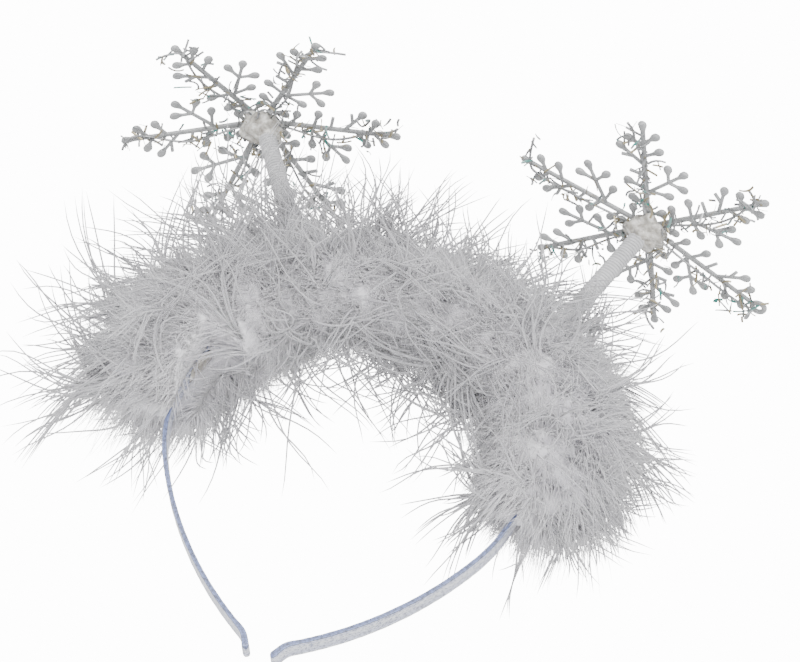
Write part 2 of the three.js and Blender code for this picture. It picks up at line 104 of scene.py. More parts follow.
# Rings of points, (tubes, rings, sides, 3) in millimetres, as one mesh of closed tubes:
# quads join each ring to the next, and one polygon closes each end.
def tubesToObject(name, rings, material, attributes=None, smooth=True):
    tubes, count, sides, _ = rings.shape
    index = np.arange(tubes * count * sides).reshape(tubes, count, sides)
    low, high = index[:, :-1], index[:, 1:]
    quads = np.stack([low, np.roll(low, -1, 2), np.roll(high, -1, 2), high], -1).reshape(-1, 4)
    caps = np.concatenate([index[:, 0, ::-1], index[:, -1]]).reshape(-1, sides)
    loops = np.concatenate([quads.ravel(), caps.ravel()]).astype(np.int32)
    sizes = np.concatenate([np.full(len(quads), 4), np.full(len(caps), sides)]).astype(np.int32)
    mesh = bpy.data.meshes.new(name)
    mesh.vertices.add(index.size)
    mesh.vertices.foreach_set("co", (rings.reshape(-1) * mm).astype(np.float32))
    mesh.loops.add(len(loops))
    mesh.loops.foreach_set("vertex_index", loops)
    mesh.polygons.add(len(sizes))
    mesh.polygons.foreach_set("loop_start", (np.cumsum(sizes) - sizes).astype(np.int32))
    mesh.polygons.foreach_set("use_smooth", np.full(len(sizes), smooth))
    mesh.update(calc_edges=True)
    for key, values in (attributes or {}).items():
        layer = mesh.attributes.new(key, "FLOAT", "POINT")
        spread = np.broadcast_to(values, (tubes, count, sides)).astype(np.float32)
        layer.data.foreach_set("value", spread.ravel())
    mesh.validate()
    mesh.materials.append(material)
    made = bpy.data.objects.new(name, mesh)
    bpy.context.scene.collection.objects.link(made)
    return made


def finishPiece(piece, slot, *nodes):
    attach(piece, bodyName)
    if nodes:
        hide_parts(*nodes)


# Shared material helpers

def startMaterial(name):
    material = bpy.data.materials.new(name)
    material.use_nodes = True
    return material, material.node_tree, material.node_tree.nodes["Principled BSDF"]


def addNode(tree, kind, inputs=None, **settings):
    node = tree.nodes.new(kind)
    for key, value in settings.items():
        setattr(node, key, value)
    for key, value in (inputs or {}).items():
        if isinstance(value, bpy.types.NodeSocket):
            tree.links.new(value, node.inputs[key])
        else:
            node.inputs[key].default_value = value
    return node


def addRamp(tree, factor, stops):
    ramp = addNode(tree, "ShaderNodeValToRGB", {"Fac": factor})
    elements = ramp.color_ramp.elements
    while len(elements) < len(stops):
        elements.new(0.5)
    for element, (place, colour) in zip(elements, stops):
        element.position = place
        element.color = (*colour, 1)
    return ramp.outputs["Color"]


def addNoise(tree, scale, detail=3.0, rough=0.55, stretch=None):
    coords = addNode(tree, "ShaderNodeTexCoord").outputs["Object"]
    if stretch:
        coords = addNode(tree, "ShaderNodeMapping", {"Vector": coords, "Scale": stretch}).outputs["Vector"]
    noise = addNode(tree, "ShaderNodeTexNoise",
                    {"Vector": coords, "Scale": scale, "Detail": detail, "Roughness": rough})
    return noise.outputs["Fac"]


def readAttribute(tree, name):
    return addNode(tree, "ShaderNodeAttribute", attribute_name=name).outputs["Fac"]


def addMix(tree, factor, first, second, blend="MIX"):
    node = addNode(tree, "ShaderNodeMix", data_type="RGBA", blend_type=blend)
    for socket, value in zip((node.inputs[0], node.inputs[6], node.inputs[7]), (factor, first, second)):
        if isinstance(value, bpy.types.NodeSocket):
            tree.links.new(value, socket)
        else:
            socket.default_value = value
    return node.outputs[2]


def addBump(tree, shader, height, distance, strength=1.0):
    bump = addNode(tree, "ShaderNodeBump", {"Height": height, "Distance": distance, "Strength": strength})
    tree.links.new(bump.outputs["Normal"], shader.inputs["Normal"])


# Route of the band: from the crown through a flat, three arcs, a flare and a straight tip

bandShape = {
    "width": 10.0,
    "thickness": 2.0,
    "tipThickness": 3.0,
    "tipSwell": 12.0,
    "seat": 3.0,
    "arcs": ((65.2, 83.4), (62.7, 35.5), (140.5, 30.1), (8.0, -30.0)),
    "tip": 4.5,
}


# Heading along one half is piecewise linear in length; the place is its running integral.
def traceBand():
    lengths = [bandShape["seat"]]
    turns = [0.0]
    for radius, turn in bandShape["arcs"]:
        lengths.append(radius * abs(np.radians(turn)))
        turns.append(np.radians(turn))
    lengths.append(bandShape["tip"])
    turns.append(0.0)
    marks = np.concatenate([[0], np.cumsum(lengths)])
    headings = np.concatenate([[0], np.cumsum(turns)])
    steps = np.linspace(0, marks[-1], 4001)
    middle = (steps[1:] + steps[:-1]) / 2
    heading = np.interp(middle, marks, headings)
    gain = steps[1]
    x = np.concatenate([[0], np.cumsum(np.cos(heading) * gain)])
    z = np.concatenate([[0], -np.cumsum(np.sin(heading) * gain)]) + bandShape["thickness"] / 2
    return {"marks": marks, "headings": headings, "steps": steps, "x": x, "z": z, "end": marks[-1]}


bandTrace = traceBand()


# Place, tangent and outward normal at lengths along the band; a minus sign is its left half.
def alongBand(along):
    side = np.where(along < 0, -1.0, 1.0)
    length = np.abs(along)
    turned = side * np.interp(length, bandTrace["marks"], bandTrace["headings"])
    x = side * np.interp(length, bandTrace["steps"], bandTrace["x"])
    z = np.interp(length, bandTrace["steps"], bandTrace["z"])
    zero = np.zeros_like(x)
    place = np.stack([x, zero, z], -1)
    tangent = np.stack([np.cos(turned), zero, -np.sin(turned)], -1)
    normal = np.stack([np.sin(turned), zero, np.cos(turned)], -1)
    return place, tangent, normal


yAxis = np.array([0.0, 1.0, 0.0])


# Film-wrapped band

filmLook = {
    "rings": 420,
    "sides": 48,
    "edgePower": 0.32,      # how square the section is
    "seamDepth": 0.16,      # groove where the film's edges meet, on the front edge
    "seamWidth": 0.35,
    "wrinkle": 0.07,
}


def makeFilmMaterial():
    material, tree, shader = startMaterial("pearlFilm")
    around = readAttribute(tree, "around")
    fine = addNoise(tree, 900, 4.0, 0.7)
    broad = addNoise(tree, 90, 3.0)
    # Colour across the section: navy on the edges, near-black lines along the corners as painted shade, and pale bands
    # on the faces beside them as painted highlights.
    base = addRamp(tree, around, [
        (0.0, (0.09, 0.12, 0.24)), (0.2, (0.05, 0.07, 0.16)), (0.25, (0.02, 0.02, 0.04)),
        (0.28, (0.20, 0.21, 0.27)), (0.34, (0.62, 0.64, 0.70)), (0.46, (0.36, 0.38, 0.50)),
        (0.56, (0.58, 0.60, 0.66)), (0.64, (0.26, 0.29, 0.46)), (0.70, (0.68, 0.70, 0.78)),
        (0.73, (0.20, 0.21, 0.28)), (0.75, (0.02, 0.02, 0.04)), (0.79, (0.05, 0.07, 0.16)),
        (0.90, (0.13, 0.17, 0.32)), (1.0, (0.06, 0.08, 0.18)),
    ])
    flecks = addRamp(tree, fine, [(0.38, (0.06, 0.06, 0.09)), (0.46, (0.5, 0.5, 0.5)), (0.58, (0.95, 0.96, 1.0))])
    tinted = addMix(tree, 0.75, base, flecks, "OVERLAY")
    clouds = addRamp(tree, broad, [(0.35, (0.33, 0.36, 0.44)), (0.65, (0.52, 0.54, 0.56))])
    colour = addMix(tree, 0.1, tinted, clouds)
    tree.links.new(colour, shader.inputs["Base Color"])
    shader.inputs["Metallic"].default_value = 0.15
    shader.inputs["Coat Weight"].default_value = 0.6
    shader.inputs["Coat Roughness"].default_value = 0.12
    shine = addRamp(tree, fine, [(0.3, (0.18, 0.18, 0.18)), (0.7, (0.5, 0.5, 0.5))])
    tree.links.new(shine, shader.inputs["Roughness"])
    addBump(tree, shader, fine, 0.00025, 0.6)
    return material


# "around" runs from 0 on the back edge to 1 on the front edge, over either face. The section
# is a squared oval, cos and sin of the angle raised to a small power, which
# swells and closes round at the tips; the film's seam is a groove at angle 180.
def makeBand():
    end = bandTrace["end"]
    tip = bandShape["tipThickness"] / 2
    body = np.linspace(-end + tip, end - tip, filmLook["rings"])
    close = tip * (1 - np.sin(np.linspace(0, np.pi / 2, 9)[1:] * 0.995))
    ends = end - close
    along = np.concatenate([-ends[::-1], body, ends])
    toTip = end - np.abs(along)
    swell = np.clip(1 - toTip / bandShape["tipSwell"], 0, 1)
    half = (bandShape["thickness"] + (bandShape["tipThickness"] - bandShape["thickness"]) * swell) / 2
    shrink = np.sqrt(np.clip(1 - (1 - np.clip(toTip / tip, 0, 1)) ** 2, 0.0004, 1))
    wide = bandShape["width"] / 2 - 1.6 * (1 - shrink) - 0.25 * swell
    place, tangent, normal = alongBand(along)
    side = np.broadcast_to(yAxis, place.shape)
    sides = filmLook["sides"]
    rings = carryProfile(place[None], side[None], normal[None], (wide - 0.1)[None],
                         (half * shrink - 0.06 * shrink)[None], sides, filmLook["edgePower"])
    angle = 2 * np.pi * np.arange(sides) / sides
    seam = np.exp(-((angle - np.pi) / filmLook["seamWidth"]) ** 2) * filmLook["seamDepth"]
    rings[0] += (seam[None, :] * shrink[:, None])[..., None] * yAxis
    ripple = np.sin(along[:, None] * 1.1 + 2.3 * np.sin(along[:, None] * 0.31) + angle[None, :] * 2)
    rings[0] -= (ripple * filmLook["wrinkle"] * shrink[:, None] * 0.5)[..., None] * normal[:, None, :]
    around = np.broadcast_to(1 - np.abs(1 - angle / np.pi), (1, len(along), sides))
    piece = tubesToObject("filmBand", rings, makeFilmMaterial(), {"around": around})
    finishPiece(piece, "band", "band")


makeBand()
print("band made")


# Feather trim: a lumpy backing of down, dense soft barbs and long loose wisps

downShape = {
    "halfLength": 114.0,
    "reach": 35.0,
    "coreShare": 0.8,       # backing's radius as a share of the dense reach
    "endLean": 2.5,
    "behind": 7.0,          # how far the down behind the parting stands in from the band
    "opening": 0.5,         # push to the front of strands in front of the parting
    "paintedHighlight": (-2.1, 0.75),   # angle round the trim, and spread, of its palest down: a painted highlight on the side where the light falls
    # at: share of the half length; lift of the trim's middle off the band's; dense; loose
    "profile": ((-1, 0.25, 0.48, 1.2), (-0.93, 0.27, 0.76, 1.35), (-0.75, 0.24, 0.88, 1.55),
                (-0.5, 0.12, 0.8, 1.55), (-0.2, 0.05, 0.6, 1.3), (0, 0.03, 0.62, 1.2),
                (0.2, 0.05, 0.66, 1.2), (0.5, 0.2, 0.78, 1.35), (0.75, 0.24, 0.84, 1.45),
                (0.93, 0.12, 0.64, 1.15), (1, 0.05, 0.36, 0.8)),
    "parting": (-0.72, -0.6, 0.6),   # its front closes between these shares; least outward before
}
barbLook = {
    "seed": 11,
    "parts": 4,
    "perPart": 7600,
    "segments": 3,
    "width": 0.33,          # half the thickness at the root
    "taper": 1.1,
    "wavy": 0.04,
    "length": (0.28, 0.68),  # shares of the dense reach
    "shortInside": 0.3,     # shorter on the head's side
    "tuftSize": 7,          # barbs that bend together
    "lean": 0.9,            # how flat they are combed towards the ends of the trim
}
wispLook = {
    "seed": 5,
    "count": 2200,
    "segments": 10,
    "width": 0.48,
    "taper": 0.35,
    "wavy": 0.09,
    "tuftSize": 2.6,
    "length": (0.9, 2.0),   # shares of the way from the backing to the wisps' reach
    "deepest": 62.0,        # how far to the front or back a wisp's tip stands
    "fewerInFront": 0.85,   # wisps stand mostly in the plane of the headband
    "fewerInside": 0.6,
    "shortOutside": 0.5,    # shorter on the outer side at the right end
}


# Lift, dense and loose reach in millimetres at shares of the half length.
def downReach(share):
    table = np.array(downShape["profile"]).T
    return [downShape["reach"] * np.interp(share, table[0], column) for column in table[1:]]


# How far the band runs inside the down: 0 at the parting and the right end, 1 between.
def coverBand(share):
    start, until, inside = downShape["parting"]
    return np.clip((share - until) / 0.1, 0, 1) * np.clip((1 - share) / 0.1, 0, 1)


# Keeps points of the trim off the band. Where it isn't inside the down, their height along
# its normal is at least the outer face's over its width, and where the trim is parted, beside
# it, the inner face's.
def offTheBand(points, share, place, normal):
    height = ((points - place) * normal).sum(-1)
    face = bandShape["thickness"] / 2
    over = np.abs(points[..., 1]) < bandShape["width"] / 2 + 0.4
    start, until, inside = downShape["parting"]
    beside = -face - np.where(points[..., 1] > 0, downShape["behind"], 0)
    beside = beside - downShape["reach"] * np.clip((share - start) / (until - start), 0, 1)
    low = np.where(over, face + 0.2 - downShape["reach"] * coverBand(share), beside)
    return points + np.maximum(low - height, 0)[..., None] * normal


# A bell over the angle round the trim: the painted highlight, down painted paler on the side where the light falls.
def paintedHighlightShare(angle):
    middle, spread = downShape["paintedHighlight"]
    return np.exp(-(((angle - middle + np.pi) % (2 * np.pi) - np.pi) / spread) ** 2)


# Painted light: the roots lie in shade and the tips in the open, so the roots are painted paler and the tips deeper,
# the colour deepening from root to tip.
def makeDownMaterial(name, light, shade, tip, paintedDeepening):
    material, tree, shader = startMaterial(name)
    tone = readAttribute(tree, "tone")
    reach = readAttribute(tree, "reach")
    patch = addNoise(tree, 42, 2.0)
    fine = addNoise(tree, 400, 3.0)
    strand = addMix(tree, tone, (*shade, 1), (*light, 1))
    clouded = addMix(tree, 0.35, strand, addRamp(tree, patch, [(0.38, shade), (0.62, light)]))
    flecked = addMix(tree, 0.12, clouded, addRamp(tree, fine, [(0.35, shade), (0.65, light)]))
    # painted light: the tip colour is multiplied in over the strand's outer reach, deeper tips offsetting the light
    # they stand in
    outer = addRamp(tree, reach, [(paintedDeepening[0], (0, 0, 0)), (paintedDeepening[1], (1, 1, 1))])
    tree.links.new(addMix(tree, outer, flecked, (*tip, 1), "MULTIPLY"), shader.inputs["Base Color"])
    shader.inputs["Roughness"].default_value = 0.9
    shader.inputs["Sheen Weight"].default_value = 0.3
    shader.inputs["Sheen Roughness"].default_value = 0.6
    shader.inputs["Subsurface Weight"].default_value = 0.8
    shader.inputs["Subsurface Radius"].default_value = (0.004, 0.004, 0.004)
    shader.inputs["Subsurface Scale"].default_value = 1.0
    shader.inputs["Specular IOR Level"].default_value = 0.1
    return material


# Backing: radius is the dense reach times its share, times 1 + lumps, a sum of sines of the
# length and the angle; it closes to a rounded end at both ends.
def makeBacking(material):
    rings, sides = 170, 72
    share = np.sin(np.linspace(-np.pi / 2, np.pi / 2, rings)) * 0.9995
    place, tangent, normal = alongBand(share * downShape["halfLength"])
    angle = 2 * np.pi * np.arange(sides) / sides
    fall = np.sqrt(np.clip(1 - np.clip((np.abs(share) - 0.9) / 0.1, 0, 1) ** 2, 0.0001, 1))
    lift, dense, loose = downReach(share)
    radius = dense * downShape["coreShare"] * fall
    lumps = 0.05 * np.sin(share[:, None] * 41 + 3 * angle) + 0.045 * np.sin(share[:, None] * 87 - 5 * angle)
    lumps += 0.04 * np.sin(share[:, None] * 150 + 9 * angle + 1.3)
    reach = radius[:, None] * (1 + lumps)
    middle = place + (lift * np.minimum(1, fall + 0.25))[:, None] * normal
    around = np.cos(angle)[None, :, None] * normal[:, None, :] + np.sin(angle)[None, :, None] * -yAxis
    points = offTheBand(middle[:, None, :] + reach[..., None] * around, share[:, None], place[:, None, :], normal[:, None, :])[None]
    # tone: a base, lighter where the lumps bulge out, plus the painted highlight
    tone = 0.3 + lumps[None] + 0.7 * paintedHighlightShare(np.arctan2(-np.sin(angle), np.cos(angle)))
    piece = tubesToObject("downBacking", points, material, {"tone": tone, "reach": 0.0})
    finishPiece(piece, "feather", "fur_trim")


# One strand: place(t) = root + length * (t * way + t^2 * bend + t * small wave), its width
# falling as (1 - t)^taper. All strands of a piece are one array.
def growStrands(name, root, way, bend, length, look, tone, material, wave):
    t = np.linspace(0, 1, look["segments"] + 1)
    helper = unit(np.cross(way, bend + 1e-3))
    ripple = np.sin(t[None, :] * 6 + wave[:, None]) * t[None, :] * look["wavy"]
    path = t[None, :, None] * way[:, None, :] + (t ** 2)[None, :, None] * bend[:, None, :]
    path = root[:, None, :] + length[:, None, None] * (path + ripple[..., None] * helper[:, None, :])
    side, up = pathFrames(path, helper[:, None, :])
    thick = look["width"] * np.broadcast_to((1 - t) ** look["taper"], path.shape[:2]) + 0.025
    rings = carryProfile(path, side, up, thick, thick, 3)
    attributes = {"tone": tone[:, None, None], "reach": np.broadcast_to(t[None, :, None], rings.shape[:3])}
    piece = tubesToObject(name, rings, material, attributes)
    finishPiece(piece, "feather", "fur_trim")


# Directions round the trim: cos(angle) * outward + sin(angle) * front-to-back, leaned along
# the band. Roots stand a share of the backing's radius out from the trim's middle. Where the
# trim is parted, strands of its front turn outwards until their share of outward is enough.
# Roots over the bare band on the head's side move beside it.
def trimRoots(share, angle, lean, depth):
    place, tangent, normal = alongBand(share * downShape["halfLength"])
    lift, dense, loose = downReach(share)
    out = np.cos(angle)[:, None] * normal + np.sin(angle)[:, None] * yAxis
    root = place + lift[:, None] * normal + out * (dense * downShape["coreShare"] * depth)[:, None]
    start, until, inside = downShape["parting"]
    turn = np.where((share < until) & (np.sin(angle) < 0.1), np.maximum(inside - np.cos(angle), 0), 0)
    edge = bandShape["width"] / 2 + 0.6
    over = (np.abs(root[:, 1]) < edge) & (np.cos(angle) < 0) & (coverBand(share) < 0.5)
    sign = np.where(angle < 0, -1, 1)
    root[:, 1] = np.where(over, sign * edge, root[:, 1])
    opening = downShape["opening"] * (turn > 0)
    way = unit(out + turn[:, None] * normal + lean[:, None] * tangent - opening[:, None] * yAxis)
    return offTheBand(root, share, place, normal), way, tangent, out


# Extra lean along the band over the last tenth of the trim, so that its ends are covered.
def endLean(share):
    return np.sign(share) * downShape["endLean"] * np.clip((np.abs(share) - 0.9) / 0.1, 0, 1)


def makeBarbs(material):
    rng = np.random.default_rng(barbLook["seed"])
    edges = np.linspace(-0.99, 0.99, barbLook["parts"] + 1)
    for part in range(barbLook["parts"]):
        count = barbLook["perPart"]
        tufts = int(count / barbLook["tuftSize"])
        tuft = rng.integers(0, tufts, count)
        tuftBend = rng.normal(0, 0.3, (tufts, 2))
        tuftShare = rng.uniform(edges[part], edges[part + 1], tufts)
        tuftAngle = rng.uniform(-np.pi, np.pi, tufts)
        share = np.clip(tuftShare[tuft] + rng.normal(0, 0.02, count), -0.99, 0.99)
        angle = tuftAngle[tuft] + rng.normal(0, 0.16, count)
        lean = share * barbLook["lean"] + tuftBend[tuft, 0] + rng.normal(0, 0.15, count)
        lean += endLean(share) * rng.uniform(0, 1, count)
        capped = np.where(np.abs(share) > 0.93, np.sqrt(rng.uniform(0, 1, count)), 1)
        root, way, tangent, out = trimRoots(share, angle, lean, rng.uniform(0.86, 0.99, count) * capped)
        lift, dense, loose = downReach(share)
        length = dense * rng.uniform(*barbLook["length"], count)
        length *= 1 - barbLook["shortInside"] * np.maximum(-np.cos(angle), 0)
        bend = tangent * (0.25 * share + tuftBend[tuft, 0])[:, None]
        bend += np.cross(out, tangent) * (tuftBend[tuft, 1] + rng.normal(0, 0.1, count))[:, None]
        # tone: a random share plus the painted highlight
        tone = rng.uniform(0, 0.3, count) + 0.7 * paintedHighlightShare(angle)
        wave = rng.uniform(0, 6, count)
        growStrands("downBarbs%d" % (part + 1), root, way, bend, length, barbLook, tone, material, wave)


def makeWisps(material):
    rng = np.random.default_rng(wispLook["seed"])
    count = wispLook["count"]
    tufts = int(count / wispLook["tuftSize"])
    tuft = rng.integers(0, tufts, count)
    tuftShare = rng.uniform(-0.99, 0.99, tufts)
    draws = rng.uniform(-np.pi, np.pi, (tufts, 4))
    fewer = wispLook["fewerInFront"] * np.abs(np.sin(draws))
    fewer += wispLook["fewerInside"] * np.maximum(-np.cos(draws), 0)
    plane = rng.uniform(0, 1, (tufts, 4)) > fewer
    plane[:, -1] = True
    tuftAngle = draws[np.arange(tufts), np.argmax(plane, axis=1)]
    tuftBend = rng.normal(0, 0.7, (tufts, 2))
    tuftLength = rng.uniform(*wispLook["length"], tufts)
    share = np.clip(tuftShare[tuft] + rng.normal(0, 0.006, count), -0.99, 0.99)
    angle = tuftAngle[tuft] + rng.normal(0, 0.07, count)
    lean = share * 0.5 + rng.normal(0, 0.12, count) + 0.4 * tuftBend[tuft, 0]
    root, way, tangent, out = trimRoots(share, angle, lean, np.full(count, 0.95))
    lift, dense, loose = downReach(share)
    length = (loose - dense * downShape["coreShare"]) * tuftLength[tuft] * rng.uniform(0.85, 1.0, count)
    bend = tangent * (0.2 * share + tuftBend[tuft, 0] + rng.normal(0, 0.08, count))[:, None]
    bend += np.cross(out, tangent) * (tuftBend[tuft, 1] + rng.normal(0, 0.08, count))[:, None]
    length /= np.linalg.norm(way + bend, axis=-1)
    length *= 1 - wispLook["shortOutside"] * np.clip(share / 0.4 - 1.2, 0, 1) * np.maximum(np.cos(angle), 0)
    room = wispLook["deepest"] - np.abs(root[:, 1])
    length = np.minimum(length, room / np.maximum(np.abs((way + bend)[:, 1]), 0.01))
    # tone: a random share plus the painted highlight
    tone = rng.uniform(0, 0.3, count) + 0.7 * paintedHighlightShare(angle)
    wave = rng.uniform(0, 6, count)
    growStrands("downWisps", root, way, bend, length, wispLook, tone, material, wave)


# Colours of each down: light, shade, tip and its painted deepening. The wisps are the same down painted deeper
# overall, and the barbs' and wisps' tips deeper, because they stand in the open: painted light.
makeBacking(makeDownMaterial("backingDown", (0.96, 0.94, 0.98), (0.70, 0.69, 0.73), (1, 1, 1), (0, 1)))
makeBarbs(makeDownMaterial("barbDown", (0.99, 0.97, 1.0), (0.58, 0.57, 0.61), (0.86, 0.86, 0.87), (0.4, 1)))
makeWisps(makeDownMaterial("wispDown", (0.60, 0.59, 0.62), (0.42, 0.415, 0.44), (0.50, 0.50, 0.51), (0.1, 0.7)))
print("feather trim made")


# The two stalks: a coil, glue, a tinsel star and a snowflake on each

coilShape = {"radius": 3.7, "wire": 0.62, "length": 82.0, "pitch": 1.28, "perTurn": 20, "sides": 6, "gap": 0.3}
stalks = (
    {"side": "left", "seat": -37.4, "lean": -34.1, "azimuth": 55.7, "elevation": -70.8, "spin": 1.9,
     "droop": 0.176, "swerve": (0, 0, 0, 0, 0, 0), "eyelet": -1},
    {"side": "right", "seat": 52.5, "lean": 18.3, "azimuth": -35.1, "elevation": -82.6, "spin": 4.4,
     "droop": 0.0, "swerve": (0, 0, 6, 0, 0, -6), "eyelet": 5},
)
standoff = 4.6  # coil's end to the snowflake's middle plane


# Foot, axis and end of a coil: its foot's lower edge lies a gap off the band's outer face.
def coilPlace(stalk):
    place, tangent, normal = alongBand(np.array([stalk["seat"]]))
    lean = np.radians(stalk["lean"])
    axis = np.array([np.sin(lean), 0, np.cos(lean)])
    slope = np.arccos(np.clip(axis @ normal[0], -1, 1))
    rise = (coilShape["gap"] + coilShape["radius"] * np.sin(slope)) / np.cos(slope)
    foot = place[0] + normal[0] * bandShape["thickness"] / 2 + axis * rise
    return foot, axis, foot + axis * coilShape["length"]


def makeCoilMaterial():
    material, tree, shader = startMaterial("coatedWire")
    fine = addNoise(tree, 500, 3.0)
    broad = addNoise(tree, 60, 2.0)
    colour = addRamp(tree, broad, [(0.3, (0.42, 0.42, 0.43)), (0.7, (0.56, 0.56, 0.57))])
    worn = addMix(tree, 0.25, colour, addRamp(tree, fine, [(0.4, (0.34, 0.34, 0.35)), (0.6, (0.64, 0.64, 0.66))]))
    tree.links.new(worn, shader.inputs["Base Color"])
    shader.inputs["Roughness"].default_value = 0.5
    addBump(tree, shader, fine, 0.0001, 0.5)
    return material


# A helix: place(t) = foot + axis * (wire + t * rise) + r * (cos(turns t) * a + sin(turns t) * b).
def makeCoil(stalk, material):
    foot, axis, end = coilPlace(stalk)
    wire = coilShape["wire"]
    rise = coilShape["length"] - 2 * wire
    turns = rise / coilShape["pitch"]
    t = np.linspace(0, 1, int(turns * coilShape["perTurn"]))
    first = np.array([axis[2], 0, -axis[0]])
    radius = coilShape["radius"] - wire
    swing = 2 * np.pi * turns * t
    ring = np.cos(swing)[:, None] * first + np.sin(swing)[:, None] * yAxis
    path = foot + axis * (wire + t * rise)[:, None] + radius * ring
    side, up = pathFrames(path[None], axis)
    thick = np.full((1, len(t)), wire)
    rings = carryProfile(path[None], side, up, thick, thick, coilShape["sides"])
    piece = tubesToObject("coil_" + stalk["side"], rings, material)
    finishPiece(piece, "spring", "spring_" + stalk["side"])


coilMaterial = makeCoilMaterial()
for stalk in stalks:
    makeCoil(stalk, coilMaterial)
print("coils made")


# Snowflakes, in their own plane with the underside towards +z, then bent and placed

flakeShape = {
    "reach": 55.0,
    "thickness": 1.8,
    "hub": 5.0,
    "armRoot": 2.6,
    "armEnd": 2.0,
    "twig": 1.4,
    "dropWidth": 3.7,
    "dropTail": 4.8,
    "eyelet": (2.55, 1.05),     # ring's middle radius and half its width
    # at: share along the arm; turn: off its line; reach: share; drop: a teardrop or a bare stub
    "twigs": ((0.12, -66, 0.12, 1), (0.7, -58, 0.135, 1), (0.83, -50, 0.12, 1), (0.22, 65, 0.12, 1),
              (0.38, 68, 0.145, 1), (0.51, 75, 0.12, 0), (0.8, 62, 0.12, 1)),
    "branches": (((0.34, -48, 0.385), ((0.1, -47, 0.145, 1), (0.59, 48, 0.13, 1), (0.59, -64, 0.12, 1))),
                 ((0.61, 48, 0.235), ((0.45, 40, 0.09, 0),))),
    "arms": 6,
}


# One row for each twig of a snowflake: start x, y, direction, length, teardrop, wide, narrow.
def flakeRows(stalk):
    reach = flakeShape["reach"]
    twig = flakeShape["twig"]
    arm = [(0, 0, 0, reach - 2, 0, flakeShape["armRoot"], flakeShape["armEnd"])]
    arm += [(at * reach, 0, turn, far * reach, drop, twig, twig) for at, turn, far, drop in flakeShape["twigs"]]
    for (at, turn, far), twigs in flakeShape["branches"]:
        arm.append((at * reach, 0, turn, far * reach, 1, twig * 1.1, twig))
        way = np.radians(turn)
        for share, off, out, drop in twigs:
            x = at * reach + share * far * reach * np.cos(way)
            y = share * far * reach * np.sin(way)
            arm.append((x, y, turn + off, out * reach, drop, twig, twig))
    tip = (reach / 2, 0, 0, reach / 2, 1, flakeShape["armEnd"], flakeShape["armEnd"])
    rows = []
    for index in range(flakeShape["arms"]):
        turned = index * 360 / flakeShape["arms"] + stalk["swerve"][index]
        cos, sin = np.cos(np.radians(turned)), np.sin(np.radians(turned))
        pieces = arm if index == stalk["eyelet"] else arm + [tip]
        rows += [(x * cos - y * sin, x * sin + y * cos, turn + turned, *rest) for x, y, turn, *rest in pieces]
    return np.array(rows)


# The snowflake's plane in the headband's frame: middle, two plane axes and the underside's normal.
def flakePlane(stalk):
    az, el, spin = np.radians([stalk["azimuth"], stalk["elevation"], stalk["spin"]])
    facing = np.array([np.sin(az) * np.cos(el), -np.cos(az) * np.cos(el), np.sin(el)])
    first = np.array([np.cos(az), np.sin(az), 0])
    second = np.cross(facing, first)
    foot, axis, end = coilPlace(stalk)
    along = first * np.cos(spin) + second * np.sin(spin)
    across = second * np.cos(spin) - first * np.sin(spin)
    return end + axis * standoff, along, across, facing


# Points in a snowflake's own frame bend towards the underside past the hub, by
# droop * reach * (r - hub) / (reach - hub), and are placed on their stalk.
def placeOnStalk(points, stalk):
    middle, along, across, facing = flakePlane(stalk)
    reach = flakeShape["reach"]
    hub = flakeShape["hub"]
    past = np.maximum(np.hypot(points[..., 0], points[..., 1]) - hub, 0) / (reach - hub)
    z = points[..., 2] + stalk["droop"] * reach * past
    return middle + points[..., :1] * along + points[..., 1:2] * across + z[..., None] * facing


# Half width along a twig: a straight taper, and at the end a teardrop whose tail widens as
# half a cosine and whose head is a semicircle. Half thickness follows it, less deeply.
def twigWidths(rows, t):
    length, drop, wide, narrow = rows[:, 3:4], rows[:, 4:5], rows[:, 5:6], rows[:, 6:7]
    half = flakeShape["dropWidth"] / 2
    span = length + np.where(drop > 0, half, 0)
    x = t * span
    stem = (wide + (narrow - wide) * t) / 2
    tail = np.clip((length - x) / flakeShape["dropTail"], 0, 1)
    head = np.sqrt(np.clip(1 - (np.clip(x - length, 0, half) / half) ** 2, 0.0009, 1))
    bulb = np.where(x < length, half * (0.5 + 0.5 * np.cos(np.pi * tail)), half * head)
    width = np.where(drop > 0, np.where(x < length, np.maximum(stem, bulb), bulb), stem)
    bare = np.where(t > 0.995, 0.1, 1)
    return x, np.where(drop > 0, width, width * bare)


def makeFlakeMaterial():
    material, tree, shader = startMaterial("frostedPlastic")
    grain = addNoise(tree, 1500, 2.0, 0.7)
    broad = addNoise(tree, 120, 2.0)
    colour = addRamp(tree, broad, [(0.3, (0.25, 0.255, 0.26)), (0.7, (0.36, 0.365, 0.37))])
    sparkle = addRamp(tree, grain, [(0.36, (0.25, 0.27, 0.27)), (0.5, (0.5, 0.5, 0.5)), (0.68, (0.86, 0.9, 0.9))])
    tree.links.new(addMix(tree, 0.35, colour, sparkle, "OVERLAY"), shader.inputs["Base Color"])
    shader.inputs["Roughness"].default_value = 0.32
    shader.inputs["Coat Weight"].default_value = 0.3
    shader.inputs["Coat Roughness"].default_value = 0.15
    addBump(tree, shader, grain, 0.00012, 0.6)
    return material


